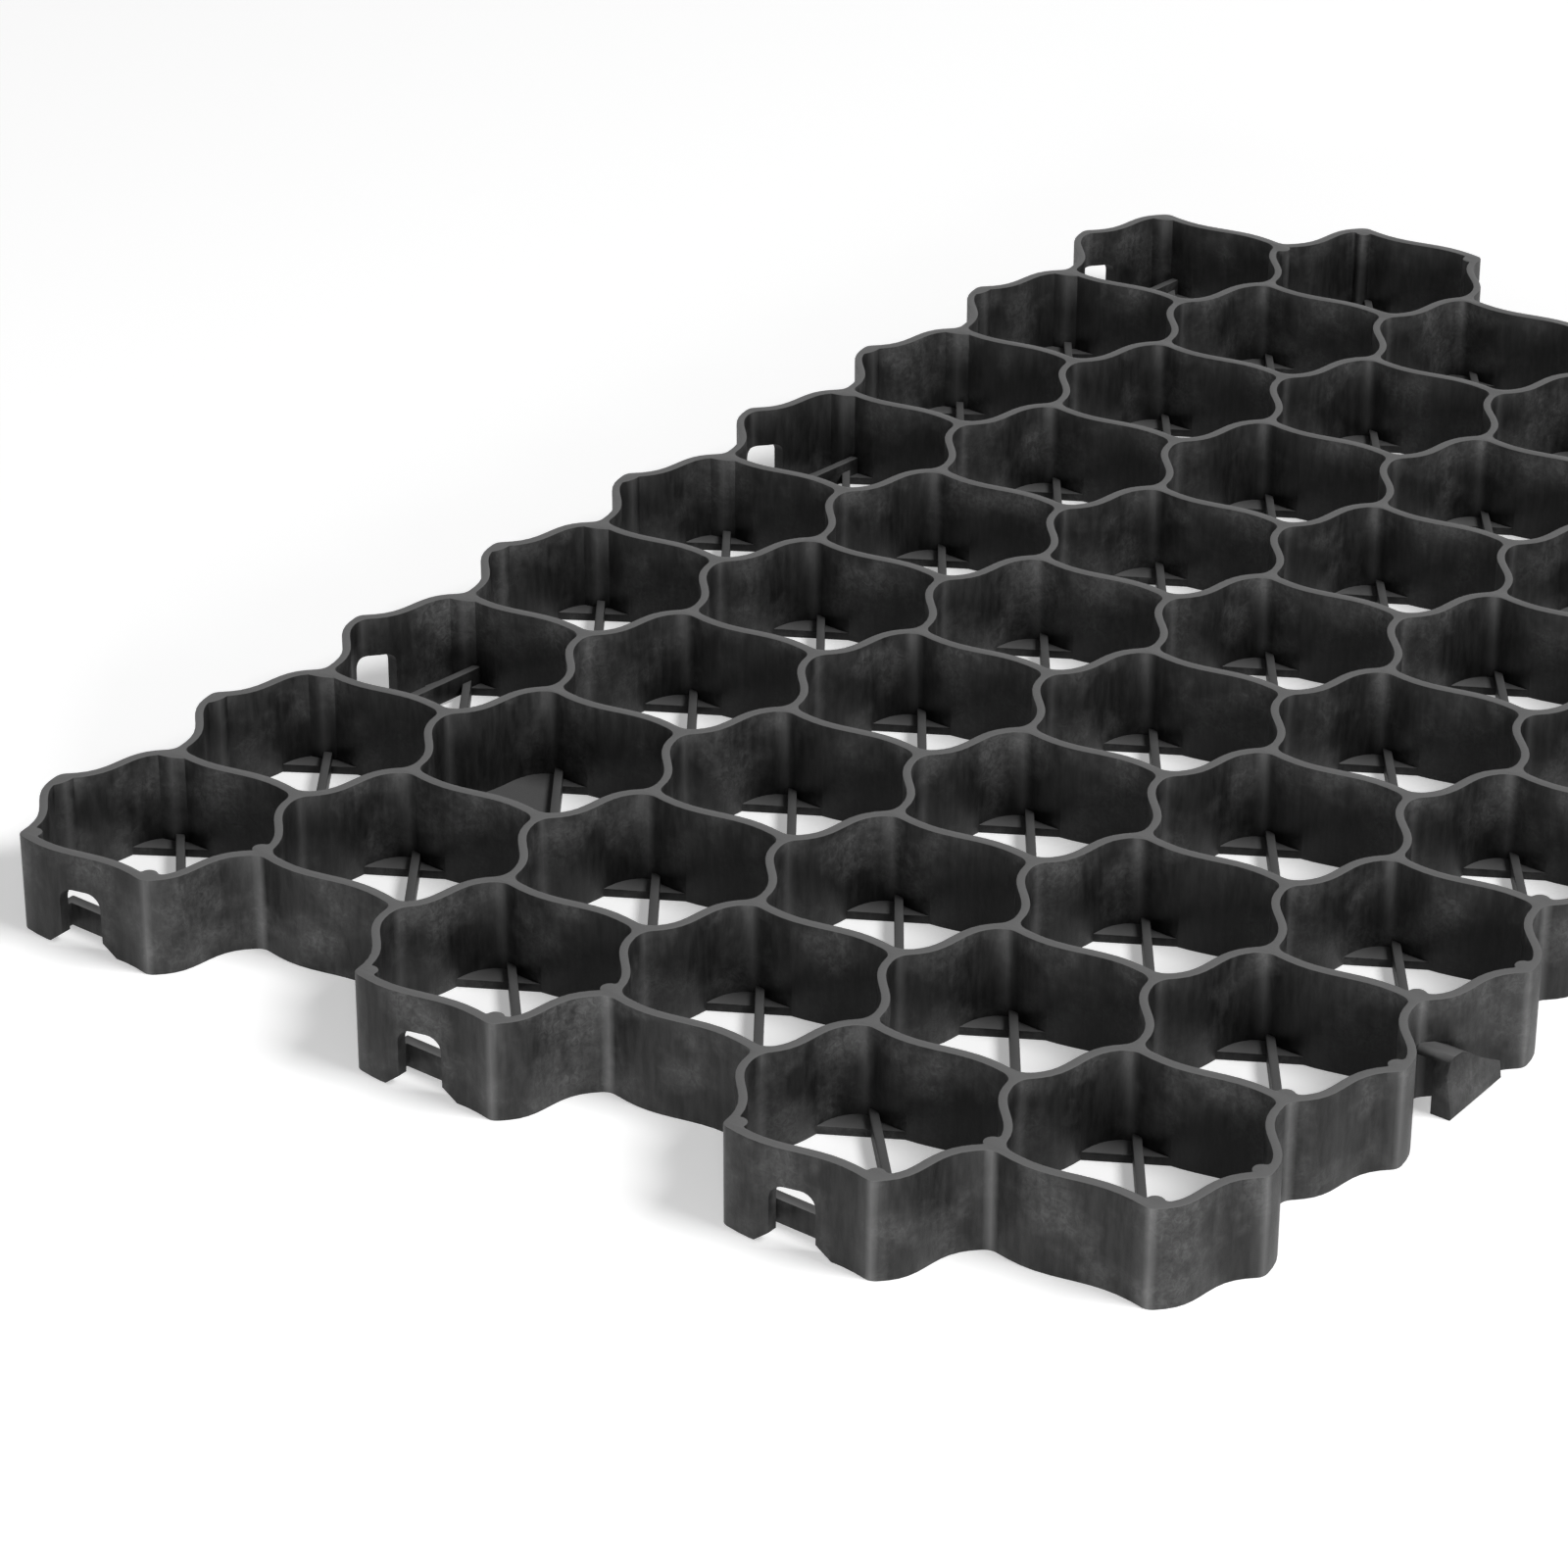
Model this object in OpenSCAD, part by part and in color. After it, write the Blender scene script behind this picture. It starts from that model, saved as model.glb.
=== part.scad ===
// Gravel grid: one moulded panel of open six-sided cells with waved walls.
// Each cell has a floor rib and a corner web. Slots on the front and left
// sides take the hooks on the back and right sides of the next panels.
// Millimetres, +Z up. The origin is the centre of the front left cell.

/* [Grid] */
// Columns of cells, an even number
columns = 6; // [2:2:8]
// Cells in each column
rows = 9; // [3:1:12]
// Distance between two columns
pitch_x = 80; // [76:1:88]
// Distance between two cells of one column
pitch_y = 82; // [76:1:90]
// Height of the panel
height = 38.5; // [34:0.5:50]

/* [Walls] */
// Distance from a cell's centre to its left and right corners
point_x = 50; // [48:0.5:53]
// Shift of the corners along Y, which turns each joint of three walls
turn = 0.8; // [0:0.1:1.5]
// Thickness of the cross walls and the rising walls
wall = 4; // [3:0.1:5]
// Thickness of the falling walls
thin_wall = 3.2; // [2.6:0.1:4.4]
// Depth of the wave in the cross walls
cross_wave = 2.1; // [0:0.1:3]
// Depth of the wave in the slanted walls
slant_wave = 2.7; // [0:0.1:3.4]
// Length of the chamfer at each outer corner, along the wall
outer_round = 2.5; // [1.5:0.5:5]
// Gap between the outer walls of two joined panels
seam = 1; // [0.4:0.1:2]
// Radius of the ejector posts in the corners of the outer cells
post_r = 3.4; // [2.4:0.1:4]

/* [Floor] */
// Thickness of the floor ribs
rib_t = 3.4; // [2:0.1:4.5]
// Height of the floor ribs
rib_h = 6.5; // [4:0.5:9]
// Length of the corner webs along the walls
web_leg = 22.5; // [12:0.5:25]
// Thickness of the corner webs
web_t = 3.4; // [2:0.1:4]

/* [Joints between panels] */
// Every how many cells a side has a slot or a hook
joint_step = 3; // [2:1:4]
// Width of the slots in the front walls
slot_w = 16.5; // [14:0.5:20]
// Height of the slots in the front walls
slot_h = 24; // [20:0.5:27]
// Width of the chamfer on each side of a slot's mouth
flare = 6; // [3:0.5:7]
// Width of the windows in the left corners
window_w = 15.5; // [12:0.5:17]
// Height of the windows in the left corners
window_h = 22.5; // [20:0.5:27]
// Height of the keeper bars behind the slots and windows
keeper_h = 10.5; // [8:0.5:14]
// Thickness of the keeper bars and of the hook lips
lip_t = 3.5; // [2.6:0.1:3.8]
// Distance from a hook's lip to the wall that it holds
clearance = 0.6; // [0.4:0.1:1]

/* [Hidden] */
colour = "#4a4c4e";
past = 1;
// Distance from a cell's centre to its upper and lower corners, along X
top_x = pitch_x - point_x;
// Six corners of a cell, counter-clockwise from the right one
corners = [
    [point_x, -turn], [top_x, pitch_y / 2 + turn], [-top_x, pitch_y / 2 - turn],
    [-point_x, turn], [-top_x, -pitch_y / 2 - turn], [top_x, -pitch_y / 2 + turn]
];
// Stations along a wall at which its wave is drawn
stations = [0.2, 0.4, 0.6, 0.8];
// The chamfer stays inside the wall
corner_round = min(outer_round, 1.6 * wall);
// Place of a slot's middle along the front wall
slot_x = -0.9;
// Place of a window's middle along Y
window_y = 0.8;
// Radius of the upper corners of the slots and windows
arch_r = 5.5;
// Shift of the floor ribs from the corners, along X
rib_shift = 1.6;
// Room for one wall between a hook's lip and its own wall
reach = seam / 2 + wall + clearance;

function cell(i, j) = [i * pitch_x, (j + (i % 2) / 2) * pitch_y];
function corner(k) = corners[k % 6];
function unit(v) = v / norm(v);
function along(k) = unit(corner(k + 1) - corner(k));
function length(k) = norm(corner(k + 1) - corner(k));
function outward(k) = [along(k)[1], -along(k)[0]];
function thick(k) = k % 3 == 0 ? thin_wall : wall;
function wave(k) = k % 3 == 1 ? cross_wave : slant_wave;

// Point on wall k at the share s of its length, moved outward by off
function wall_point(k, s, off) =
    let (
        slope = wave(k) * 2 * PI / length(k) * cos(360 * s),
        face = unit(outward(k) - along(k) * slope)
    )
    corner(k) + along(k) * length(k) * s + outward(k) * wave(k) * sin(360 * s) + face * off;

// True where no cell lies beyond wall k of cell i, j
function side_step(i, k) =
    k == 1 ? [0, 1] :
    k == 4 ? [0, -1] :
    [k == 0 || k == 5 ? 1 : -1, k == 0 || k == 2 ? i % 2 : (i % 2) - 1];
function inside(p) = p[0] >= 0 && p[0] < columns && p[1] >= 0 && p[1] < rows;
function is_outer(i, j, k) = !inside([i, j] + side_step(i, k % 6));

// Offsets of a wall's inner face and of its middle plane from the cell's edge
function face_off(i, j, k) = is_outer(i, j, k) ? -seam / 2 - thick(k) : -thick(k) / 2;
function mid_off(i, j, k) = is_outer(i, j, k) ? -(seam + thick(k)) / 2 : 0;

// Crossing of two lines, each a point and a direction
function crossing(p, u, q, v) =
    p + u * ((q[0] - p[0]) * v[1] - (q[1] - p[1]) * v[0]) / (u[0] * v[1] - u[1] * v[0]);
// Corner k + 1, moved in by the offsets of its two walls
function moved_corner(k, off_a, off_b) =
    crossing(
        corner(k) + outward(k) * off_a, along(k),
        corner(k + 1) + outward(k + 1) * off_b, along(k + 1)
    );

// Shares of wall k at which its straight run starts and ends beside a corner
function end_share(k, c, flat) = 1 - ((corner(k + 1) - c) * along(k) + flat) / length(k);
function start_share(k, c, flat) = ((c - corner(k)) * along(k) + flat) / length(k);

// Cells of the first column with a window in their left corner
function has_window(i, j) = i == 0 && j % joint_step == joint_step - 1;
// Corners with an ejector post: on the sides, and on the ends of the outer cells
function has_post(i, j, k) =
    (i == columns - 1 && (k == 0 || k == 5)) ||
    (i == 0 && (k == 2 || (k == 3 && !has_window(i, j)))) ||
    (j == 0 && i % 2 == 0 && (k == 4 || k == 5 || k == 0)) ||
    (j == rows - 1 && i % 2 == 1 && (k == 1 || k == 2 || k == 3));

function inner_corner(i, j, k) =
    let (
        a = face_off(i, j, k),
        b = face_off(i, j, k + 1),
        c = moved_corner(k, a, b),
        axis = unit(along(k + 1) - along(k)),
        across = [-axis[1], axis[0]],
        middle = c + axis * post_r * 0.3,
        flat = post_r * 1.4
    )
    !has_post(i, j, (k + 1) % 6) ? [c] :
    concat(
        [wall_point(k, end_share(k, c, flat), a)],
        [for (t = [60:-60:-60]) middle + post_r * (axis * cos(t) + across * sin(t))],
        [wall_point((k + 1) % 6, start_share((k + 1) % 6, c, flat), b)]
    );

function cell_outline(i, j) = [
    for (k = [0:5]) each concat(
        [for (s = stations) wall_point(k, s, face_off(i, j, k))],
        inner_corner(i, j, k)
    )
];

// Outer walls in order around the panel, each as [column, row, wall]
function front_walls() = [
    for (i = [0:columns - 1]) each
        i % 2 == 1 ? [[i, 0, 4]] :
        i == 0 ? [[i, 0, 4], [i, 0, 5]] :
        [[i, 0, 3], [i, 0, 4], [i, 0, 5]]
];
function right_walls() = [
    for (j = [0:rows - 1]) each [[columns - 1, j, 5], [columns - 1, j, 0]]
];
function back_walls() = [
    for (i = [columns - 1:-1:0]) each
        i % 2 == 0 ? [[i, rows - 1, 1]] :
        i == columns - 1 ? [[i, rows - 1, 1], [i, rows - 1, 2]] :
        [[i, rows - 1, 0], [i, rows - 1, 1], [i, rows - 1, 2]]
];
function left_walls() = [
    for (j = [rows - 1:-1:0]) each [[0, j, 2], [0, j, 3]]
];
border = concat(front_walls(), right_walls(), back_walls(), left_walls());

// Corner between two following outer walls: chamfered where it points out
function border_corner(e, f) =
    let (
        off = -seam / 2,
        c_e = cell(e[0], e[1]),
        c_f = cell(f[0], f[1]),
        u = along(e[2]),
        v = along(f[2]),
        c = crossing(c_e + corner(e[2]) + outward(e[2]) * off, u,
            c_f + corner(f[2]) + outward(f[2]) * off, v),
        convex = u[0] * v[1] - u[1] * v[0] > 0,
        p = c_e + wall_point(e[2], end_share(e[2], c - c_e, corner_round), off),
        q = c_f + wall_point(f[2], start_share(f[2], c - c_f, corner_round), off)
    )
    convex ? [p, q] : [c];

panel_outline = [
    for (n = [0:len(border) - 1])
        let (e = border[n], f = border[(n + 1) % len(border)])
        each concat(
            [for (s = stations) cell(e[0], e[1]) + wall_point(e[2], s, -seam / 2)],
            border_corner(e, f)
        )
];

module honeycomb() {
    linear_extrude(height)
        difference() {
            polygon(panel_outline);
            for (i = [0:columns - 1], j = [0:rows - 1])
                translate(cell(i, j)) polygon(cell_outline(i, j));
        }
}

// Point inside the wall joint at corner k, where a rib or web is rooted
function root(i, j, k) =
    let (
        edge = is_outer(i, j, k) || is_outer(i, j, k + 5),
        inward = -unit(corner(k))
    )
    corner(k) + inward * (edge ? seam / 2 + 0.8 * wall : wall / 2);

// Rib from the far left corner to the near right one, or to the wall after it
// where a keeper bar fills that corner
module floor_rib(i, j) {
    keeper = j == 0 && i % 2 == 0;
    a = root(i, j, 2) + [rib_shift, 0];
    b = keeper ? wall_point(5, 0.3, mid_off(i, j, 5)) : root(i, j, 5) + [rib_shift, 0];
    side = unit([a[1] - b[1], b[0] - a[0]]) * rib_t / 2;
    linear_extrude(rib_h)
        polygon([a + side, b + side, b - side, a - side]);
}

// Web in corner k, between the wall before it and the wall after it
module corner_web(i, j, k) {
    before = (k + 5) % 6;
    s_a = 1 - web_leg / length(before);
    s_b = web_leg / length(k);
    linear_extrude(web_t)
        polygon([
            wall_point(before, s_a, mid_off(i, j, before)),
            wall_point(before, (1 + s_a) / 2, mid_off(i, j, before)),
            root(i, j, k),
            wall_point(k, s_b / 2, mid_off(i, j, k)),
            wall_point(k, s_b, mid_off(i, j, k))
        ]);
}

// Plate that closes half the floor of one cell, left of its rib
module floor_plate(i, j) {
    linear_extrude(web_t)
        polygon(concat(
            [root(i, j, 2)],
            [for (s = stations) wall_point(2, s, mid_off(i, j, 2))],
            [wall_point(3, 0, 0)],
            [for (s = [0.2, 0.4, 0.6]) wall_point(3, s, mid_off(i, j, 3))],
            [[0, 0]]
        ));
}

module floor() {
    for (i = [0:columns - 1], j = [0:rows - 1])
        translate(cell(i, j)) {
            floor_rib(i, j);
            corner_web(i, j, 2);
        }
    translate(cell(1, 1)) floor_plate(1, 1);
}

// Outline of an opening with a round top, w wide and h high, from below the floor
function arch(w, h, r) = concat(
    [[-w / 2, -past], [w / 2, -past]],
    [for (t = [0:30:90]) [w / 2 - r + r * cos(t), h - r + r * sin(t)]],
    [for (t = [90:30:180]) [r - w / 2 + r * cos(t), h - r + r * sin(t)]]
);

// Slot through the front wall of an even column's first cell, with a flared mouth
module front_slot() {
    half = slot_w / 2;
    translate([slot_x, -pitch_y / 2 + wall + cross_wave + past, 0])
        rotate([90, 0, 0])
        linear_extrude(wall + 2 * cross_wave + 4 * past) {
            polygon(arch(slot_w, slot_h, arch_r));
            polygon([
                [-half - flare, -past], [half + flare, -past], [half + flare, 0],
                [half, flare * 0.8], [-half, flare * 0.8], [-half - flare, 0]
            ]);
        }
}

// Window through the left corner of a first column's cell
module corner_window() {
    translate([-point_x - 2 * past, window_y, 0])
        rotate([90, 0, 90])
        linear_extrude(point_x - top_x - past)
        polygon(arch(window_w, window_h, arch_r * 0.7));
}

// Bar behind a front slot, with a cheek at each end
module front_keeper() {
    half = slot_w / 2 + flare;
    face_y = -pitch_y / 2 + wall / 2 + seam;
    bar_y = -pitch_y / 2 + seam / 2 + wall + lip_t + 1.7;
    translate([slot_x, 0, 1])
        linear_extrude(keeper_h - 1)
        polygon([
            [-half - lip_t, face_y], [-half, face_y], [-half, bar_y],
            [half, bar_y], [half, face_y], [half + lip_t, face_y],
            [half + lip_t, bar_y + lip_t], [-half - lip_t, bar_y + lip_t]
        ]);
}

// Bar behind a corner window, from a cheek below it to the cross wall
module left_keeper() {
    low = window_y - window_w / 2;
    bar_x = -point_x + 22;
    lean = 5;
    top_y = pitch_y / 2 - wall / 2 - seam;
    translate([0, 0, 2])
        linear_extrude(keeper_h - 2)
        polygon([
            [-point_x + 5, low - lip_t],
            [bar_x + lip_t, low - lip_t],
            [bar_x + lip_t + lean, top_y],
            [bar_x + lean, top_y],
            [bar_x, low],
            [-point_x + 4, low]
        ]);
}

// Side view of a hook: its bridge arches up and its lip reaches the floor
function hook_profile(w, h) = [
    [0, 0], [w, h * 0.18], [w, h * 0.47], [w * 0.8, h * 0.61], [w * 0.61, h * 0.76],
    [w * 0.45, h * 0.92], [w * 0.33, h], [w * 0.18, h], [w * 0.09, h * 0.93], [0, h * 0.77]
];

// Hook on the rising right wall, which takes a corner window
module right_hook() {
    start = -pitch_y / 2 - 4.7;
    run = 29.5;
    tall = window_h - 0.5;
    root_x = top_x + 4.4;
    lip_x = root_x + wall + reach;
    lean = 2.8;
    draft = 2.2;
    intersection() {
        translate([top_x - 1, start, 0])
            rotate([90, 0, 90])
            linear_extrude(30)
            polygon(hook_profile(run, tall));
        translate([lip_x, start, 0])
            rotate([90, 0, -atan(lean / run)])
            translate([0, 0, -run - 10])
            linear_extrude(run + 20)
            polygon([
                [root_x - lip_x - 10, -past], [lip_t, -past], [lip_t, 0],
                [lip_t - draft, tall * 0.78], [0, tall + past], [root_x - lip_x - 10, tall + past]
            ]);
        union() {
            linear_extrude(tall + past)
                polygon([
                    [lip_x, start], [lip_x + lip_t, start],
                    [lip_x + lip_t + lean, start + run], [lip_x + lean, start + run]
                ]);
            linear_extrude(tall + past)
                polygon([
                    [lip_x - lip_t - 0.8, start], [lip_x + lip_t, start],
                    [lip_x + lip_t, start + lip_t], [lip_x - lip_t - 0.8, start + lip_t]
                ]);
            translate([0, 0, tall - 2.2])
                linear_extrude(tall)
                polygon([
                    [top_x + 1, start], [lip_x + lip_t, start],
                    [lip_x + lip_t + lean / 2, start + run / 2],
                    [top_x + 7, start + run / 2], [top_x, start + 6]
                ]);
        }
    }
}

// Hook on a cross wall at the back, which takes a front slot
module back_hook() {
    w = slot_w - 2;
    tall = slot_h - 1.6;
    face_y = pitch_y / 2 - seam - wall / 2;
    lip_y = pitch_y / 2 + cross_wave + reach - seam / 2;
    intersection() {
        translate([slot_x, face_y + 20, 0])
            rotate([90, 0, 0])
            linear_extrude(20)
            polygon(arch(w, tall, arch_r - 1));
        union() {
            translate([slot_x - w / 2, lip_y, 0]) cube([w, lip_t, tall]);
            translate([slot_x - w / 2, face_y, tall * 0.76])
                cube([w, lip_y + lip_t - face_y, tall]);
        }
    }
}

module grid() {
    color(colour)
        union() {
            difference() {
                honeycomb();
                for (i = [0:2:columns - 1])
                    translate(cell(i, 0)) front_slot();
                for (j = [joint_step - 1:joint_step:rows - 1])
                    translate(cell(0, j)) corner_window();
            }
            floor();
            for (i = [0:2:columns - 1]) {
                translate(cell(i, 0)) front_keeper();
                translate(cell(i, rows - 1)) back_hook();
            }
            for (j = [joint_step - 1:joint_step:rows - 1]) {
                translate(cell(0, j)) left_keeper();
                translate(cell(columns - 1, j)) right_hook();
            }
        }
}

grid();
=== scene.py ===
# Gravel grid: a black moulded panel of open six-sided cells with waved walls.
# It is one moulding. The sections follow it from the walls, slots and windows to the floor
# ribs, the keepers, the hooks and the plastic, and end with the studio and the camera.
import math

import bmesh
import bpy
from mathutils import Matrix, Quaternion, Vector
from mathutils.kdtree import KDTree


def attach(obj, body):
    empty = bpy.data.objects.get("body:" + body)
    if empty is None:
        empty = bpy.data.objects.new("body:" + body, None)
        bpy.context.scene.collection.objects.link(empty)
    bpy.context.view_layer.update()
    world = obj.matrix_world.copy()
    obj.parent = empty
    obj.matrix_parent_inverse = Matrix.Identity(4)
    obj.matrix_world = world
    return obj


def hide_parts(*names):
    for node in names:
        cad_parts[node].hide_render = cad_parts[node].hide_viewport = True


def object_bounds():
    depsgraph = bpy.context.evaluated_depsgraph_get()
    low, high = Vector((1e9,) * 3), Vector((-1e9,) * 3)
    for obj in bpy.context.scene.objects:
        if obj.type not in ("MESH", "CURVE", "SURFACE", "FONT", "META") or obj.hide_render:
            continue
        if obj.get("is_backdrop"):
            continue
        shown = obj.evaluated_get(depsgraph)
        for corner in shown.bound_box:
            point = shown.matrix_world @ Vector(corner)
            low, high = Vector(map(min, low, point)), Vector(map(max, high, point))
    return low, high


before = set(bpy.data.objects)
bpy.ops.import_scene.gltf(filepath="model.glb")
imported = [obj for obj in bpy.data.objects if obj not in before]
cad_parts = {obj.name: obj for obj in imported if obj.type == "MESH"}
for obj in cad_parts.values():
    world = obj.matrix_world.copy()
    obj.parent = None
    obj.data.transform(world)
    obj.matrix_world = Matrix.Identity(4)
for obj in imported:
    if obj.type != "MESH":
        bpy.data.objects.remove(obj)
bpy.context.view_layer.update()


# ---- Walls
# The walls are moulded in one piece and open at the top and the floor. Nine rows of cells
# in six columns share them, with rounded corners, half-round ejector posts in the outer
# cells, and softened edges. Sizes are in millimetres, from the front left cell's centre.
COLUMNS = 6
ROWS = 9
PITCH_X = 80.0
PITCH_Y = 82.0
HEIGHT = 38.5
POINT_X = 50.0
TURN = 0.8
TOP_X = PITCH_X - POINT_X
WALL = 4.0
THIN_WALL = 3.2
CROSS_WAVE = 2.1
SLANT_WAVE = 2.7
SEAM = 1.0

CORNERS = [Vector(p) for p in (
    (POINT_X, -TURN), (TOP_X, PITCH_Y / 2 + TURN), (-TOP_X, PITCH_Y / 2 - TURN),
    (-POINT_X, TURN), (-TOP_X, -PITCH_Y / 2 - TURN), (TOP_X, -PITCH_Y / 2 + TURN))]


def cell(i, j):
    """Centre of a cell. Every second column sits half a cell further back."""
    return Vector((i * PITCH_X, (j + (i % 2) / 2) * PITCH_Y))


def corner(k):
    return CORNERS[k % 6]


def along(k):
    return (corner(k + 1) - corner(k)).normalized()


def length(k):
    return (corner(k + 1) - corner(k)).length


def outward(k):
    return Vector((along(k).y, -along(k).x))


def thick(k):
    return THIN_WALL if k % 3 == 0 else WALL


def slope(k, s):
    wave = CROSS_WAVE if k % 3 == 1 else SLANT_WAVE
    return wave * 2 * math.pi / length(k) * math.cos(2 * math.pi * s)


def wall_point(k, s, off):
    """Point on wall k at the share s of its length, moved outward by off."""
    wave = CROSS_WAVE if k % 3 == 1 else SLANT_WAVE
    face = (outward(k) - along(k) * slope(k, s)).normalized()
    middle = corner(k) + along(k) * length(k) * s + outward(k) * wave * math.sin(2 * math.pi * s)
    return middle + face * off


def crossing(p, u, q, v):
    """Crossing of two lines, each a point and a direction."""
    d = q - p
    return p + u * ((d.x * v.y - d.y * v.x) / (u.x * v.y - u.y * v.x))


def meeting(a, off_a, b, off_b, step):
    """Corner where a face of wall a meets one of wall b, whose cell lies at step from the first."""
    ua = along(a) + outward(a) * slope(a, 1)
    ub = along(b) + outward(b) * slope(b, 0)
    return crossing(wall_point(a, 1, off_a), ua, step + wall_point(b, 0, off_b), ub)


def is_outer(i, j, k):
    """Whether wall k of a cell lies on the border of the panel."""
    k %= 6
    odd = i % 2
    if k == 1:
        di, dj = 0, 1
    elif k == 4:
        di, dj = 0, -1
    else:
        di = 1 if k in (0, 5) else -1
        dj = odd if k in (0, 2) else odd - 1
    return not (0 <= i + di < COLUMNS and 0 <= j + dj < ROWS)


INNER_ROUND = 4.0
OUTER_ROUND = 2.5
HOLLOW_ROUND = 3.0
POST_R = 3.4
POST_FLAT = 1.5 * POST_R
POST_SET = 0.3 * POST_R
POST_VALLEY = 1.12 * POST_R
LEFT_POST = 1.05 * POST_R
POST_ANGLES = range(50, -51, -10)
JOINT_STEP = 3
WALL_STEPS = 11
BEND_STEPS = 6
EDGE_ROUND = 0.35


def face_off(i, j, k):
    """Distance from the lattice to the inner face of wall k."""
    return -SEAM / 2 - thick(k) if is_outer(i, j, k) else -thick(k) / 2


def has_window(i, j):
    return i == 0 and j % JOINT_STEP == JOINT_STEP - 1


def has_post(i, j, k):
    """Whether an ejector post stands in corner k of a cell."""
    right = i == COLUMNS - 1 and k in (0, 5)
    left = i == 0 and (k == 2 or k == 3 and not has_window(i, j))
    front = j == 0 and i % 2 == 0 and k in (4, 5, 0)
    back = j == ROWS - 1 and i % 2 == 1 and k in (1, 2, 3)
    return right or left or front or back


def bend(p, c, q, steps):
    """Smooth bend from p to q that leaves the corner c out."""
    points = []
    for n in range(steps + 1):
        t = n / steps
        points.append(p * (1 - t) ** 2 + c * 2 * t * (1 - t) + q * t ** 2)
    return points


def before_corner(k, c, flat):
    return 1 - ((corner(k + 1) - c).dot(along(k)) + flat) / length(k)


def after_corner(k, c, flat):
    return ((c - corner(k)).dot(along(k)) + flat) / length(k)


def run_of_wall(k, off, start, end):
    """Points along one face of wall k, strictly between two shares of its length."""
    return [wall_point(k, start + (end - start) * n / WALL_STEPS, off) for n in range(1, WALL_STEPS)]


# Upright ridge lines at the corners, each with the strength of the painted highlight along it.
INNER_HIGHLIGHT = 0.45
OUTER_HIGHLIGHT = 1
ridges = []


def cell_outline(i, j):
    """Inner faces of one cell, corner by corner, around its centre."""
    corners = []
    for k in range(6):
        n = (k + 1) % 6
        a, b = face_off(i, j, k), face_off(i, j, n)
        c = meeting(k, a, n, b, Vector((0, 0)))
        flat = POST_FLAT if has_post(i, j, n) else INNER_ROUND
        end, start = before_corner(k, c, flat), after_corner(n, c, flat)
        p, q = wall_point(k, end, a), wall_point(n, start, b)
        axis = ((p - c).normalized() + (q - c).normalized()).normalized()
        if not has_post(i, j, n):
            points = bend(p, c, q, BEND_STEPS)
        elif i == 0 and n in (2, 3):
            points = bend(p, c + axis * LEFT_POST, q, BEND_STEPS + 2)
        else:
            across = Vector((-axis.y, axis.x))
            arc = [c + axis * POST_SET + (axis * math.cos(t) + across * math.sin(t)) * POST_R
                   for t in [math.radians(d) for d in POST_ANGLES]]
            before = bend(p, c + (p - c).normalized() * POST_VALLEY, arc[0], 4)
            after = bend(arc[-1], c + (q - c).normalized() * POST_VALLEY, q, 4)
            points = before + arc[1:-1] + after
        corners.append((end, start, points))
        ridges.append((cell(i, j) + points[len(points) // 2], INNER_HIGHLIGHT))
    outline = []
    for k in range(6):
        start = corners[(k - 1) % 6][1]
        end, _, points = corners[k]
        outline += run_of_wall(k, face_off(i, j, k), start, end) + points
    return outline


def border_walls():
    """Outer walls in order around the panel, each as column, row and wall."""
    walls = []
    for i in range(COLUMNS):
        walls += [(i, 0, k) for k in ((4,) if i % 2 else (4, 5) if i == 0 else (3, 4, 5))]
    for j in range(ROWS):
        walls += [(COLUMNS - 1, j, 5), (COLUMNS - 1, j, 0)]
    for i in reversed(range(COLUMNS)):
        sides = (1,) if i % 2 == 0 else (1, 2) if i == COLUMNS - 1 else (0, 1, 2)
        walls += [(i, ROWS - 1, k) for k in sides]
    for j in reversed(range(ROWS)):
        walls += [(0, j, 2), (0, j, 3)]
    return walls


def panel_outline():
    """Outer faces of the panel, half a seam inside the lattice."""
    walls = border_walls()
    off = -SEAM / 2
    corners = []
    for n, (i, j, k) in enumerate(walls):
        i2, j2, k2 = walls[(n + 1) % len(walls)]
        here, there = cell(i, j), cell(i2, j2)
        c = here + meeting(k, off, k2, off, there - here)
        convex = along(k).x * along(k2).y - along(k).y * along(k2).x > 0
        flat = OUTER_ROUND if convex else HOLLOW_ROUND
        end = before_corner(k, c - here, flat)
        start = after_corner(k2, c - there, flat)
        points = bend(here + wall_point(k, end, off), c, there + wall_point(k2, start, off), BEND_STEPS)
        corners.append((end, start, points))
        ridges.append((points[len(points) // 2], OUTER_HIGHLIGHT))
    outline = []
    for n, (i, j, k) in enumerate(walls):
        start = corners[n - 1][1]
        end, _, points = corners[n]
        outline += [cell(i, j) + p for p in run_of_wall(k, off, start, end)] + points
    return outline


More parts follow.
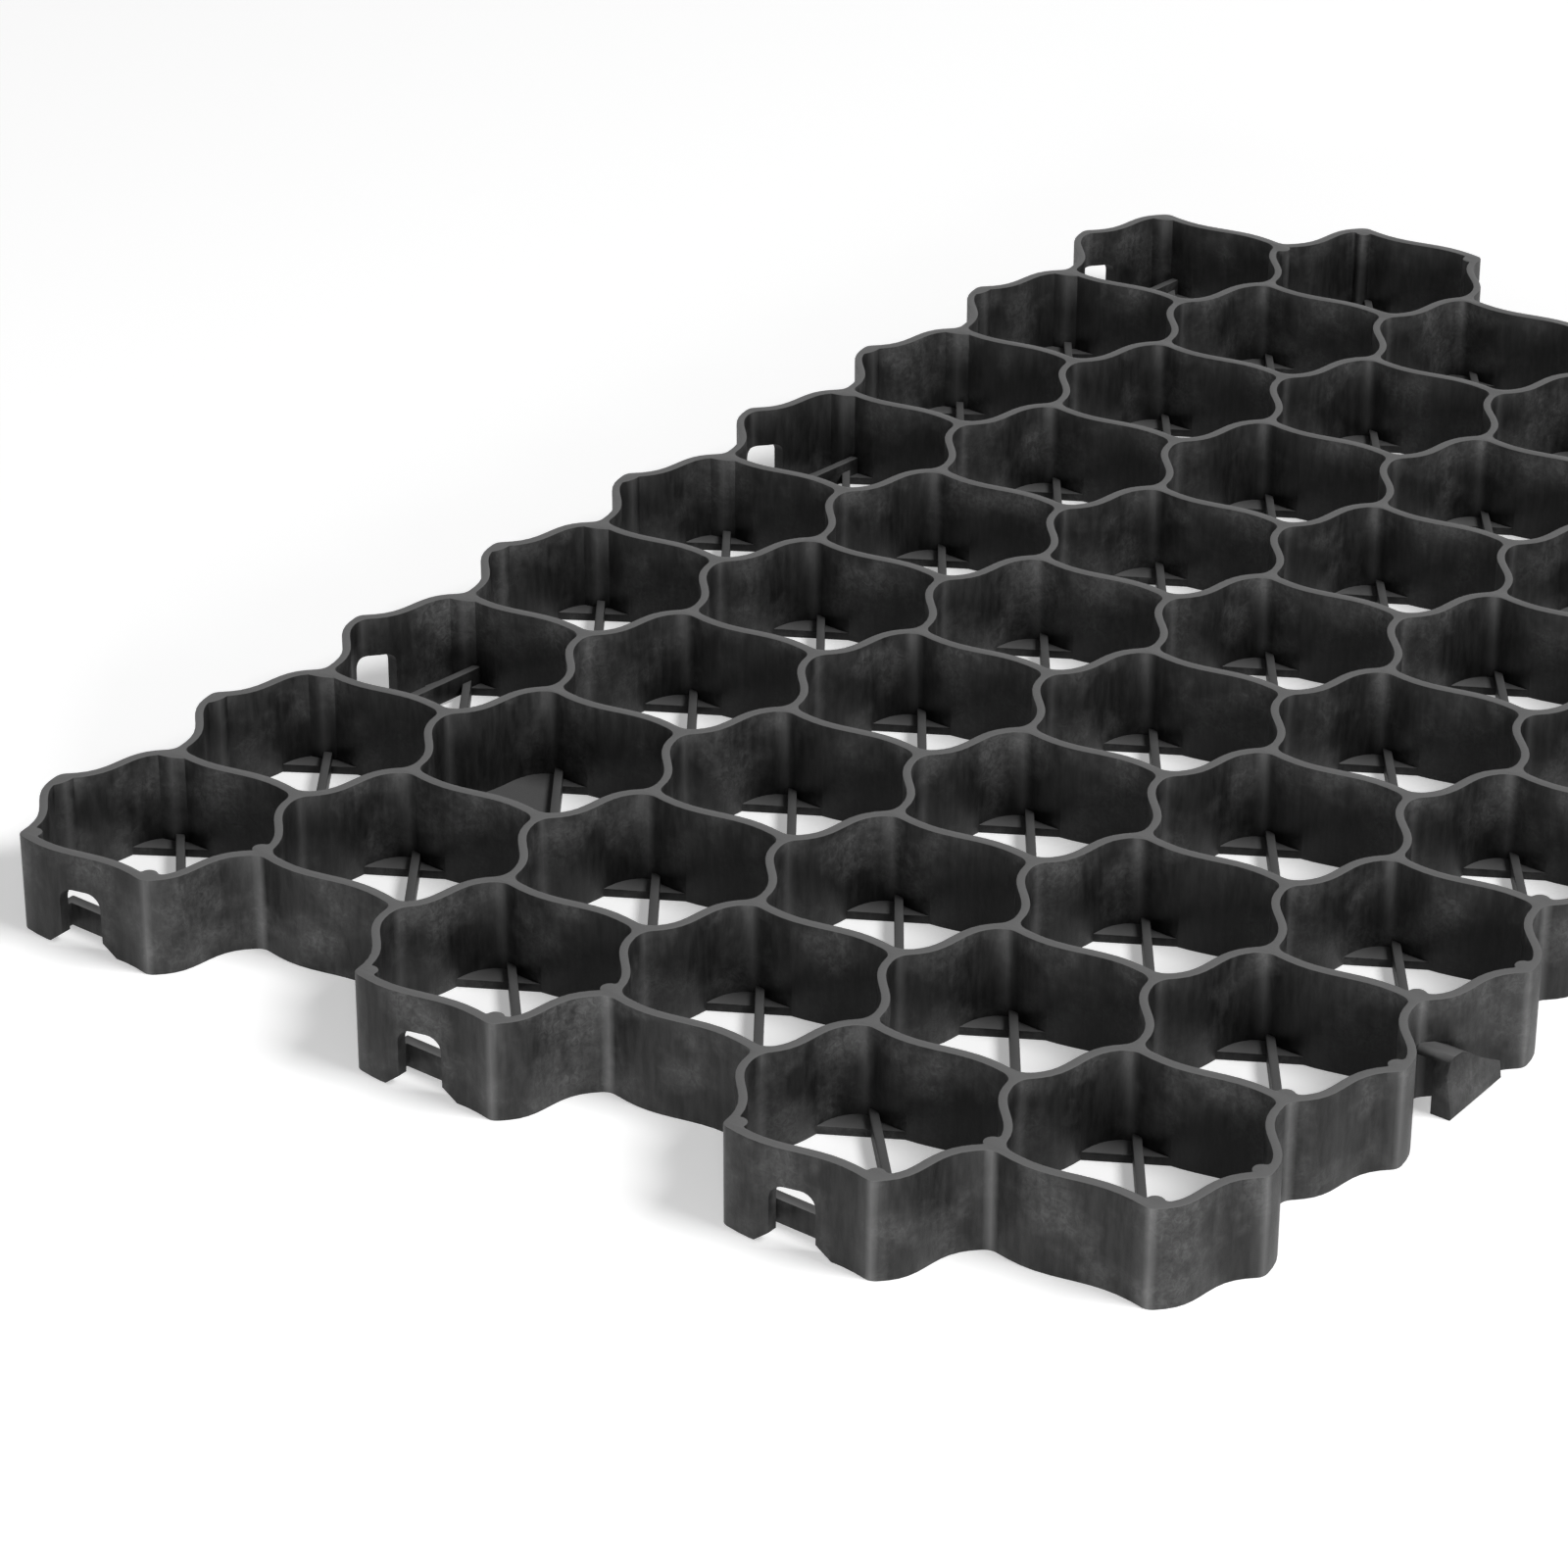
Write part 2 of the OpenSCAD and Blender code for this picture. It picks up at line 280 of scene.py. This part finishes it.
def flat_curve(name, loops, low, high, soft):
    """Closed outlines, filled, raised from low to high, with edges rounded by soft."""
    curve = bpy.data.curves.new(name, "CURVE")
    curve.dimensions = "2D"
    curve.fill_mode = "BOTH"
    curve.extrude = (high - low) / 2 - soft
    curve.bevel_depth = soft
    curve.bevel_resolution = 1
    curve.offset = -soft
    for loop in loops:
        spline = curve.splines.new("POLY")
        spline.points.add(len(loop) - 1)
        for point, p in zip(spline.points, loop):
            point.co = (p.x, p.y, 0, 1)
        spline.use_cyclic_u = True
    obj = bpy.data.objects.new(name, curve)
    bpy.context.scene.collection.objects.link(obj)
    bpy.context.view_layer.update()
    mesh = bpy.data.meshes.new_from_object(obj.evaluated_get(bpy.context.evaluated_depsgraph_get()))
    bpy.data.objects.remove(obj)
    mesh.transform(Matrix.Scale(0.001, 4) @ Matrix.Translation((0, 0, (high + low) / 2)))
    bm = bmesh.new()
    bm.from_mesh(mesh)
    bmesh.ops.remove_doubles(bm, verts=bm.verts, dist=0.00001)
    bmesh.ops.recalc_face_normals(bm, faces=bm.faces)
    bm.to_mesh(mesh)
    bm.free()
    return mesh


def as_object(name, mesh):
    obj = bpy.data.objects.new(name, mesh)
    bpy.context.scene.collection.objects.link(obj)
    return obj


loops = [panel_outline()]
for i in range(COLUMNS):
    for j in range(ROWS):
        loops.append([cell(i, j) + p for p in reversed(cell_outline(i, j))])
panel = as_object("panel", flat_curve("walls", loops, 0, HEIGHT, EDGE_ROUND))


def combine(target, tool, operation):
    """Joins two closed meshes, or cuts one with the other, and removes the tool."""
    change = target.modifiers.new(operation.lower(), "BOOLEAN")
    change.operation = operation
    change.solver = "MANIFOLD"
    change.object = tool
    bpy.context.view_layer.update()
    mesh = bpy.data.meshes.new_from_object(target.evaluated_get(bpy.context.evaluated_depsgraph_get()))
    target.modifiers.clear()
    target.data = mesh
    bpy.data.objects.remove(tool)


# ---- Slots and windows
# Every second front cell has an arched slot with a flared mouth, and every third left
# cell has a window through its corner. The hooks of the next panels go in there.
SLOT_W = 16.5
SLOT_H = 24.0
SLOT_X = -0.9
FLARE = 6.0
FLARE_H = 0.8 * FLARE
WINDOW_W = 15.5
WINDOW_H = 22.5
WINDOW_Y = 0.8
ARCH_R = 5.5
WINDOW_R = 0.7 * ARCH_R
PAST = 1.0


def loop_of(*pairs):
    return [Vector(pair) for pair in pairs]


def arch(w, h, r, low=-PAST):
    """Outline of an opening with a round top, from low to h."""
    points = loop_of((-w / 2, low), (w / 2, low))
    points += [Vector((w / 2 - r + r * math.cos(t), h - r + r * math.sin(t)))
               for t in [math.radians(d) for d in range(0, 91, 15)]]
    points += [Vector((r - w / 2 + r * math.cos(t), h - r + r * math.sin(t)))
               for t in [math.radians(d) for d in range(90, 181, 15)]]
    return points


def prism(bm, outline, depth, place, soft=0.0):
    """Adds an outline, raised by depth and with edges rounded by soft, to bm at place."""
    own = bmesh.new()
    face = own.faces.new([own.verts.new((p.x, p.y, 0)) for p in outline])
    grown = bmesh.ops.extrude_face_region(own, geom=[face])["geom"]
    top = [v for v in grown if isinstance(v, bmesh.types.BMVert)]
    bmesh.ops.translate(own, verts=top, vec=(0, 0, depth))
    bmesh.ops.recalc_face_normals(own, faces=own.faces)
    if soft:
        bmesh.ops.bevel(own, geom=own.edges[:], offset=soft, offset_type="OFFSET", segments=2,
                        profile=0.5, affect="EDGES", material=-1)
    bmesh.ops.transform(own, matrix=Matrix.Scale(0.001, 4) @ place, verts=own.verts)
    mesh = bpy.data.meshes.new("prism")
    own.to_mesh(mesh)
    own.free()
    bm.from_mesh(mesh)
    bpy.data.meshes.remove(mesh)


def finished(bm, name):
    bmesh.ops.recalc_face_normals(bm, faces=bm.faces)
    mesh = bpy.data.meshes.new(name)
    bm.to_mesh(mesh)
    bm.free()
    return as_object(name, mesh)


def at(i, j, x=0.0, y=0.0, z=0.0):
    p = cell(i, j)
    return Matrix.Translation((p.x + x, p.y + y, z))


UPRIGHT_X = Matrix.Rotation(math.radians(90), 4, "X")
UPRIGHT_Y = Matrix.Rotation(math.radians(90), 4, "Z") @ UPRIGHT_X
slot_cells = [(i, 0) for i in range(0, COLUMNS, 2)]
window_cells = [(0, j) for j in range(JOINT_STEP - 1, ROWS, JOINT_STEP)]
hook_cells = [(COLUMNS - 1, j) for j in range(JOINT_STEP - 1, ROWS, JOINT_STEP)]

bm = bmesh.new()
half = SLOT_W / 2
mouth_right = loop_of((-half - FLARE, -PAST), (half + FLARE, -PAST), (half + FLARE, 0), (half, FLARE_H))
mouth_left = loop_of((-half, FLARE_H), (-half - FLARE, 0))
slot_outline = mouth_right + arch(SLOT_W, SLOT_H, ARCH_R)[2:] + mouth_left
for i, j in slot_cells:
    prism(bm, slot_outline, WALL + 2 * CROSS_WAVE + 4 * PAST,
          at(i, j, SLOT_X, -PITCH_Y / 2 + WALL + CROSS_WAVE + PAST) @ UPRIGHT_X)
for i, j in window_cells:
    prism(bm, arch(WINDOW_W, WINDOW_H, WINDOW_R), POINT_X - TOP_X - PAST,
          at(i, j, -POINT_X - 2 * PAST, WINDOW_Y) @ UPRIGHT_Y)
combine(panel, finished(bm, "openings"), "DIFFERENCE")


# ---- Floor ribs and corner webs
# A rib crosses the floor of each cell between two of its corners, and a thin web fills
# the far left corner. One cell near the front also has a plate over half its floor.
RIB_T = 3.4
RIB_H = 6.5
RIB_SHIFT = 1.6
RIB_SOFT = 0.4
SLOT_RIB_END = 0.3
WEB_LEG = 22.5
WEB_T = 3.4
WEB_SOFT = 0.35


def mid_off(i, j, k):
    """Distance from the lattice to the middle of wall k."""
    return -(SEAM + thick(k)) / 2 if is_outer(i, j, k) else 0


def root(i, j, k):
    """Point inside the plastic at corner k, where a rib or a web is rooted."""
    edge = is_outer(i, j, k) or is_outer(i, j, k + 5)
    inward = -corner(k).normalized()
    return corner(k) + inward * (SEAM / 2 + 0.8 * WALL if edge else WALL / 2)


ribs = bmesh.new()
webs = bmesh.new()
for i in range(COLUMNS):
    for j in range(ROWS):
        shift = Vector((RIB_SHIFT, 0))
        a, b = root(i, j, 2) + shift, root(i, j, 5) + shift
        if (i, j) in slot_cells:
            b = wall_point(5, SLOT_RIB_END, mid_off(i, j, 5))
        side = Vector((a.y - b.y, b.x - a.x)).normalized() * RIB_T / 2
        prism(ribs, [a + side, b + side, b - side, a - side], RIB_H, at(i, j), RIB_SOFT)
        s_a, s_b = 1 - WEB_LEG / length(1), WEB_LEG / length(2)
        off_a, off_b = mid_off(i, j, 1), mid_off(i, j, 2)
        prism(webs, [
            wall_point(1, s_a, off_a), wall_point(1, (1 + s_a) / 2, off_a), root(i, j, 2),
            wall_point(2, s_b / 2, off_b), wall_point(2, s_b, off_b)], WEB_T, at(i, j), WEB_SOFT)
combine(panel, finished(ribs, "ribs"), "UNION")
combine(panel, finished(webs, "webs"), "UNION")

plate = bmesh.new()
left_walls = [wall_point(2, s, 0) for s in (0.2, 0.4, 0.6, 0.8)] + [corner(3)]
left_walls += [wall_point(3, s, 0) for s in (0.2, 0.4, 0.6)]
prism(plate, [root(1, 1, 2)] + left_walls + loop_of((0, 0)), WEB_T, at(1, 1))
combine(panel, finished(plate, "plate"), "UNION")


# ---- Keepers
# A bar stands behind each slot and window, and the hook of the next panel grips it.
# It is moulded with the walls and joins them by a cheek at each end.
KEEPER_H = 10.5
KEEPER_SOFT = 0.5
LIP_T = 3.5
BAR_T = 4.6
BAR_PLAY = 1.7
SLOT_BAR_LOW = 1
WINDOW_BAR_LOW = 2
WINDOW_BAR_IN = 22
WINDOW_BAR_LEAN = 5
CHEEK_IN = 5

keepers = bmesh.new()
half = SLOT_W / 2 + FLARE
end = half + LIP_T
face_y = -PITCH_Y / 2 + WALL / 2 + SEAM
bar_y = -PITCH_Y / 2 + SEAM / 2 + WALL + LIP_T + BAR_PLAY
for i, j in slot_cells:
    prism(keepers, loop_of(
        (-end, face_y), (-half, face_y), (-half, bar_y), (half, bar_y), (half, face_y),
        (end, face_y), (end, bar_y + BAR_T), (-end, bar_y + BAR_T)),
        KEEPER_H - SLOT_BAR_LOW, at(i, j, SLOT_X, 0, SLOT_BAR_LOW), KEEPER_SOFT)
low = WINDOW_Y - WINDOW_W / 2
cheek_x = -POINT_X + CHEEK_IN
bar_x = -POINT_X + WINDOW_BAR_IN
top_x = bar_x + WINDOW_BAR_LEAN
top_y = PITCH_Y / 2 - WALL / 2 - SEAM
for i, j in window_cells:
    prism(keepers, loop_of(
        (cheek_x, low - LIP_T), (bar_x + LIP_T, low - LIP_T), (top_x + LIP_T, top_y),
        (top_x, top_y), (bar_x, low), (cheek_x - 1, low)),
        KEEPER_H - WINDOW_BAR_LOW, at(i, j, 0, 0, WINDOW_BAR_LOW), KEEPER_SOFT)
combine(panel, finished(keepers, "keepers"), "UNION")


# ---- Hooks
# A hook on every third right wall goes into a window, and one on every second back
# wall goes into a slot. Each has a bridge out from the wall and a lip down to the floor.
CLEARANCE = 0.6
HOOK_BEFORE = 4.7
HOOK_RUN = 29.5
HOOK_LEAN = 2.8
HOOK_DRAFT = 2.2
HOOK_WALL_X = TOP_X + 4.4
HOOK_END_LAP = 0.8
HOOK_TOP_PLAY = 0.5
TAPER_FROM = 0.78
BRIDGE_T = 2.2
BRIDGE_ROOT = (7, 6)
HOOK_SOFT = 0.7
BACK_HOOK_SIDE_PLAY = 1
BACK_HOOK_TOP_PLAY = 1.6
BACK_BRIDGE_FROM = 0.76
BACK_HOOK_SOFT = 0.5
FAR = 10
reach = SEAM / 2 + WALL + CLEARANCE


def hook_side(run, tall):
    """Side of a right hook: upright at its near end, then sloped down to the far end."""
    shares = ((0, 0), (1, 0.18), (1, 0.47), (0.8, 0.61), (0.61, 0.76), (0.45, 0.92),
              (0.33, 1), (0.18, 1), (0.09, 0.93), (0, 0.77))
    return loop_of(*[(run * a, tall * b) for a, b in shares])


def add_prism(obj, name, operation, outline, depth, place):
    """Joins a prism to obj, or keeps only the part of obj inside it."""
    bm = bmesh.new()
    prism(bm, outline, depth, place)
    combine(obj, finished(bm, name), operation)


def soften(obj, soft):
    """Merges the flat faces of a closed mesh and rounds its edges by soft."""
    bm = bmesh.new()
    bm.from_mesh(obj.data)
    bmesh.ops.remove_doubles(bm, verts=bm.verts, dist=0.00002)
    bmesh.ops.dissolve_limit(bm, angle_limit=math.radians(1), verts=bm.verts, edges=bm.edges)
    sharp = [edge for edge in bm.edges if edge.calc_face_angle(0) > math.radians(30)]
    bmesh.ops.bevel(bm, geom=sharp, offset=soft * 0.001, offset_type="OFFSET", segments=2, profile=0.5,
                    affect="EDGES", clamp_overlap=True, material=-1)
    bm.to_mesh(obj.data)
    bm.free()


start = -PITCH_Y / 2 - HOOK_BEFORE
finish = start + HOOK_RUN
middle = start + HOOK_RUN / 2
tall = WINDOW_H - HOOK_TOP_PLAY
lip_x = HOOK_WALL_X + WALL + reach
face_x = lip_x + LIP_T
end_x = lip_x - LIP_T - HOOK_END_LAP
wall_x = HOOK_WALL_X - lip_x - FAR
for i, j in hook_cells:
    lip = bmesh.new()
    prism(lip, loop_of(
        (lip_x, start), (face_x, start), (face_x + HOOK_LEAN, finish), (lip_x + HOOK_LEAN, finish)),
        tall + PAST, at(i, j))
    hook = finished(lip, "right_hook")
    add_prism(hook, "hook_end", "UNION",
              loop_of((end_x, start), (face_x, start), (face_x, start + LIP_T), (end_x, start + LIP_T)),
              tall + PAST, at(i, j))
    add_prism(hook, "hook_bridge", "UNION",
              loop_of((TOP_X + 1, start), (face_x, start), (face_x + HOOK_LEAN / 2, middle),
                      (TOP_X + BRIDGE_ROOT[0], middle), (TOP_X, start + BRIDGE_ROOT[1])),
              tall, at(i, j, 0, 0, tall - BRIDGE_T))
    add_prism(hook, "hook_side", "INTERSECT",
              hook_side(HOOK_RUN, tall), 3 * FAR, at(i, j, TOP_X - 1, start) @ UPRIGHT_Y)
    add_prism(hook, "hook_taper", "INTERSECT",
              loop_of((wall_x, -PAST), (LIP_T, -PAST), (LIP_T, 0), (LIP_T - HOOK_DRAFT, tall * TAPER_FROM),
                      (0, tall + PAST), (wall_x, tall + PAST)),
              HOOK_RUN + 2 * FAR,
              at(i, j, lip_x, start) @ Matrix.Rotation(-math.atan(HOOK_LEAN / HOOK_RUN), 4, "Z") @ UPRIGHT_X
              @ Matrix.Translation((0, 0, -HOOK_RUN - FAR)))
    soften(hook, HOOK_SOFT)
    combine(panel, hook, "UNION")

half = SLOT_W / 2 - BACK_HOOK_SIDE_PLAY
tall = SLOT_H - BACK_HOOK_TOP_PLAY
face_y = PITCH_Y / 2 - SEAM - WALL / 2
lip_y = PITCH_Y / 2 + CROSS_WAVE + reach - SEAM / 2
end_y = lip_y + LIP_T
for i in range(0, COLUMNS, 2):
    lip = bmesh.new()
    prism(lip, loop_of((-half, lip_y), (half, lip_y), (half, end_y), (-half, end_y)),
          tall, at(i, ROWS - 1, SLOT_X))
    hook = finished(lip, "back_hook")
    add_prism(hook, "hook_bridge", "UNION",
              loop_of((-half, face_y), (half, face_y), (half, end_y), (-half, end_y)),
              tall, at(i, ROWS - 1, SLOT_X, 0, tall * BACK_BRIDGE_FROM))
    add_prism(hook, "hook_side", "INTERSECT",
              arch(2 * half, tall, ARCH_R - BACK_HOOK_SIDE_PLAY, 0), 2 * FAR,
              at(i, ROWS - 1, SLOT_X, face_y + 2 * FAR) @ UPRIGHT_X)
    soften(hook, BACK_HOOK_SOFT)
    combine(panel, hook, "UNION")


# ---- Plastic
# Recycled polyethylene with soot as its pigment. The melt flows up the walls and leaves
# faint clouds and streaks in a matt skin with small pits. The corners of the walls carry
# a painted highlight, and every face that looks up is painted paler as painted light from above.
PIGMENT = "#101010"
# The pale end of the tint serves the clouds and streaks, and also the painted highlight at the corners and
# the painted light on faces that look up.
HAZE_AND_PAINTED_LIGHT = "#626262"
RIDGE_HIGHLIGHT = 0.6
RIDGE_W = 3


def linear(code):
    """A colour written as in a paint program, as the light that Blender wants."""
    values = [int(code[n:n + 2], 16) / 255 for n in (1, 3, 5)]
    return [v / 12.92 if v <= 0.04045 else ((v + 0.055) / 1.055) ** 2.4 for v in values] + [1]


def add(tree, kind, links=None, **settings):
    """Adds a node. Settings named after a socket set it, others set the node itself."""
    node = tree.nodes.new(kind)
    for name, value in settings.items():
        if name[0].isupper():
            node.inputs[name.replace("_", " ")].default_value = value
        else:
            setattr(node, name, value)
    for socket, source in (links or {}).items():
        tree.links.new(source, node.inputs[socket])
    return node


plastic = bpy.data.materials.new("recycled_polyethylene_moulded")
plastic.use_nodes = True
tree = plastic.node_tree
tree.nodes.clear()
place = add(tree, "ShaderNodeTexCoord").outputs["Object"]
upright = add(tree, "ShaderNodeMapping", {"Vector": place}, Scale=(1, 1, 0.2)).outputs[0]
# Clouds are about 24 mm across, and streaks 2.6 mm wide and five times as tall. The real
# crinkles and pits are finer, and are drawn 2.5 and 0.7 mm across so that they show.
cloud = add(tree, "ShaderNodeTexNoise", {"Vector": place}, Scale=42, Detail=3, Roughness=0.55)
crinkle = add(tree, "ShaderNodeTexNoise", {"Vector": place}, Scale=400, Detail=6, Roughness=0.7,
              Distortion=0.9)
streak = add(tree, "ShaderNodeTexNoise", {"Vector": upright}, Scale=380, Detail=3, Roughness=0.6)
pits = add(tree, "ShaderNodeTexNoise", {"Vector": place}, Scale=1400, Detail=2, Roughness=0.5)
cloudy = add(tree, "ShaderNodeMapRange", {0: cloud.outputs[0]}, From_Min=0.46, From_Max=0.72, To_Max=0.58)
crinkled = add(tree, "ShaderNodeMapRange", {0: crinkle.outputs[0]}, From_Min=0.4, From_Max=0.68, To_Min=0.3)
haze = add(tree, "ShaderNodeMath", {0: cloudy.outputs[0], 1: crinkled.outputs[0]}, operation="MULTIPLY")
streaked = add(tree, "ShaderNodeMapRange", {0: streak.outputs[0]}, From_Min=0.35, From_Max=0.75, To_Max=0.12)
worn = add(tree, "ShaderNodeMath", {0: haze.outputs[0], 1: streaked.outputs[0]}, operation="ADD")
# Painted highlight along the corners, read from the ridge attribute and added to the clouds and streaks.
edge = add(tree, "ShaderNodeAttribute", attribute_name="ridge")
haze_and_ridge_highlight = add(tree, "ShaderNodeMath", {0: edge.outputs["Fac"], 2: worn.outputs[0]}, operation="MULTIPLY_ADD")
haze_and_ridge_highlight.inputs[1].default_value = RIDGE_HIGHLIGHT
facing = add(tree, "ShaderNodeSeparateXYZ", {0: add(tree, "ShaderNodeNewGeometry").outputs["Normal"]})
# Painted light from above: faces that look up are painted paler.
painted_top_light = add(tree, "ShaderNodeMapRange", {0: facing.outputs["Z"]}, From_Min=0.75, From_Max=0.98, To_Max=1)
both = add(tree, "ShaderNodeMath", {0: haze_and_ridge_highlight.outputs[0], 1: painted_top_light.outputs[0]}, operation="ADD")
tint = add(tree, "ShaderNodeValToRGB", {"Fac": both.outputs[0]})
tint.color_ramp.elements[0].color = linear(PIGMENT)
tint.color_ramp.elements[1].color = linear(HAZE_AND_PAINTED_LIGHT)
matt = add(tree, "ShaderNodeMapRange", {0: haze.outputs[0]}, To_Min=0.48, To_Max=0.6)
fine = add(tree, "ShaderNodeBump", {"Height": pits.outputs[0]}, Strength=0.2, Distance=0.0001)
wavy = add(tree, "ShaderNodeBump", {"Height": crinkle.outputs[0], "Normal": fine.outputs[0]},
           Strength=0.3, Distance=0.0003)
# Polyethylene has an index of 1.5. Its grained skin shines less, hence the lower values.
skin = add(tree, "ShaderNodeBsdfPrincipled", {
    "Base Color": tint.outputs[0], "Roughness": matt.outputs[0], "Normal": wavy.outputs[0]},
    IOR=1.42, Specular_IOR_Level=0.35)
add(tree, "ShaderNodeOutputMaterial", {"Surface": skin.outputs[0]})

# The painted highlight at each point fades out at RIDGE_W from the nearest ridge line.
lines = KDTree(len(ridges))
for n, (p, _) in enumerate(ridges):
    lines.insert((p.x, p.y, 0), n)
lines.balance()
ridge = panel.data.attributes.new("ridge", "FLOAT", "POINT")
for vert, share in zip(panel.data.vertices, ridge.data):
    _, n, near = lines.find((vert.co.x * 1000, vert.co.y * 1000, 0))
    share.value = ridges[n][1] * max(0, 1 - near / RIDGE_W)

panel.data.materials.clear()
panel.data.materials.append(plastic)
for face in panel.data.polygons:
    face.material_index = 0
    face.use_smooth = True
panel.data.set_sharp_from_angle(angle=math.radians(32))
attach(panel, "root")
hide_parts("grid")


# ---- Studio
# A white table in a white room whose ceiling is dim. A wide soft lamp hangs at the
# right, and a small low one in front of the panel lifts its near faces.
FLOOR_GLOW = 0.34
ROOM_LIGHT = 0.4
CEILING = 0.2


def for_eye(tree, plain, lit):
    """Mixes in the lit shader where the camera or a reflection looks straight at it."""
    seen = add(tree, "ShaderNodeLightPath")
    straight = add(tree, "ShaderNodeMath", {
        0: seen.outputs["Is Camera Ray"], 1: seen.outputs["Is Glossy Ray"]}, operation="MAXIMUM")
    return add(tree, "ShaderNodeMixShader", {
        "Fac": straight.outputs[0], 1: plain.outputs[0], 2: lit.outputs[0]})


white = bpy.data.materials.new("white_studio_table")
white.use_nodes = True
tree = white.node_tree
tree.nodes.clear()
paper = add(tree, "ShaderNodeBsdfDiffuse", Color=linear("#fafafa"))
dark = add(tree, "ShaderNodeEmission", Strength=0)
glow = add(tree, "ShaderNodeEmission", Strength=FLOOR_GLOW)
sheet = add(tree, "ShaderNodeAddShader", {0: paper.outputs[0], 1: for_eye(tree, dark, glow).outputs[0]})
add(tree, "ShaderNodeOutputMaterial", {"Surface": sheet.outputs[0]})

bm = bmesh.new()
bmesh.ops.create_grid(bm, x_segments=1, y_segments=1, size=6)
table = finished(bm, "table")
table.data.materials.append(white)
table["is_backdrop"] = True

world = bpy.data.worlds.new("studio")
bpy.context.scene.world = world
world.use_nodes = True
tree = world.node_tree
tree.nodes.clear()
bearing = add(tree, "ShaderNodeSeparateXYZ", {0: add(tree, "ShaderNodeTexCoord").outputs["Generated"]})
room = add(tree, "ShaderNodeMapRange", {0: bearing.outputs["Z"]},
           From_Min=0.3, From_Max=0.85, To_Min=1, To_Max=CEILING)
dimmed = add(tree, "ShaderNodeMath", {0: room.outputs[0]}, operation="MULTIPLY")
dimmed.inputs[1].default_value = ROOM_LIGHT
room_light = add(tree, "ShaderNodeBackground", {"Strength": dimmed.outputs[0]}, Color=linear("#ffffff"))
backdrop = add(tree, "ShaderNodeBackground", {"Strength": room.outputs[0]}, Color=linear("#ffffff"))
add(tree, "ShaderNodeOutputWorld", {"Surface": for_eye(tree, room_light, backdrop).outputs[0]})


def soft_light(name, place, target, width, tall, power):
    """Adds a flat lamp at place, turned to target. Sizes are in metres, power in watts."""
    lamp = bpy.data.lights.new(name, "AREA")
    lamp.shape = "RECTANGLE"
    lamp.size = width
    lamp.size_y = tall
    lamp.energy = power
    obj = bpy.data.objects.new(name, lamp)
    obj.matrix_world = (Matrix.Translation(place)
                        @ (Vector(target) - Vector(place)).to_track_quat("-Z", "Y").to_matrix().to_4x4())
    bpy.context.scene.collection.objects.link(obj)


soft_light("key", place=(4.6, 1.2, 5.1), target=(0.2, 0.35, 0), width=2.5, tall=2.5, power=330)
soft_light("front", place=(1.15, -1.35, 0.3), target=(0.2, 0.3, 0), width=0.5, tall=0.4, power=22)


# ---- Camera
# It stands off the front right corner and looks down along the panel with a long lens.
# Its place and angles were fitted to the panel's top edges in a frame of 1600 by 1600.
FRAME_PX = 1600
FOCAL_PX = 5413.1
SENSOR_MM = 36
camera = bpy.data.cameras.new("camera")
camera.sensor_width = SENSOR_MM
camera.lens = FOCAL_PX / FRAME_PX * SENSOR_MM
camera.clip_end = 50
view = bpy.data.objects.new("camera", camera)
azimuth, elevation, roll = math.radians(127.542), math.radians(-28.320), math.radians(0.074)
level = math.cos(elevation)
look = Vector((level * math.cos(azimuth), level * math.sin(azimuth), math.sin(elevation)))
turn = look.to_track_quat("-Z", "Y") @ Quaternion((0, 0, 1), roll)
view.matrix_world = Matrix.Translation((1.2003, -1.1918, 0.9543)) @ turn.to_matrix().to_4x4()
bpy.context.scene.collection.objects.link(view)
bpy.context.scene.camera = view
bpy.context.scene.view_settings.view_transform = "Standard"

low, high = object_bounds()
